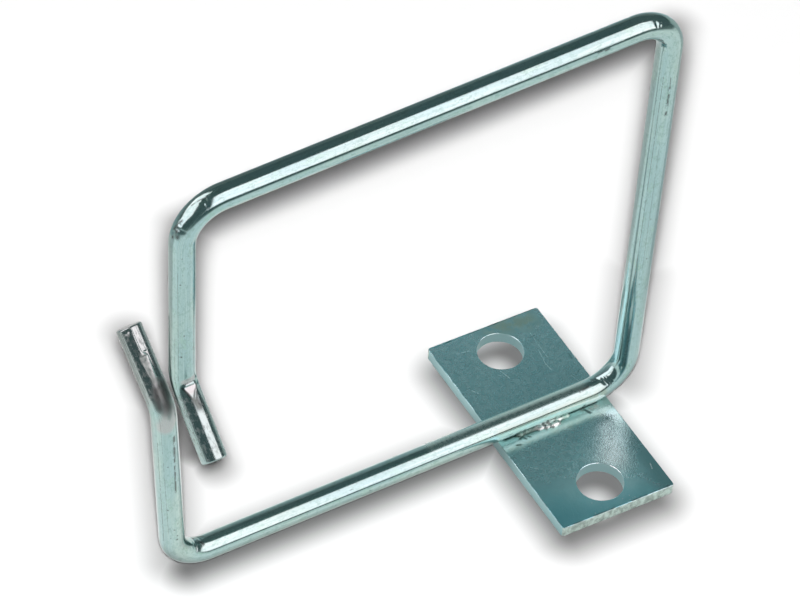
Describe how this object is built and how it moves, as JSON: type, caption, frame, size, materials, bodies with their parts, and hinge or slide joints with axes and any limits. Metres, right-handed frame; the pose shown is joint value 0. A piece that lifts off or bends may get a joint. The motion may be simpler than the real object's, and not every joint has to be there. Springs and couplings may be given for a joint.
{
  "type": "cable management ring",
  "caption": "Open rectangular ring of bent steel wire with crossing kinked ends, welded upright across a small flat plate with screw holes; guides cables in a rack or cabinet.",
  "frame": {"origin": "midway between the two screw holes, on the plate's back face", "axes": "+Z out of the back face through the plate, +X along the ring's bars towards the corner over the plate, +Y along the plate's length"},
  "size_m": [0.0881, 0.0414, 0.0868],
  "materials": {
    "plated_wire": "bright zinc plating, blue passivated",
    "plated_plate": "satin zinc plating, blue passivated",
    "plated_weld": "rough weld metal under zinc plating"
  },
  "bodies": {
    "root": {"wire_ring": "plated_wire", "mounting_plate": "plated_plate", "weld": "plated_weld"}
  },
  "joints": []
}
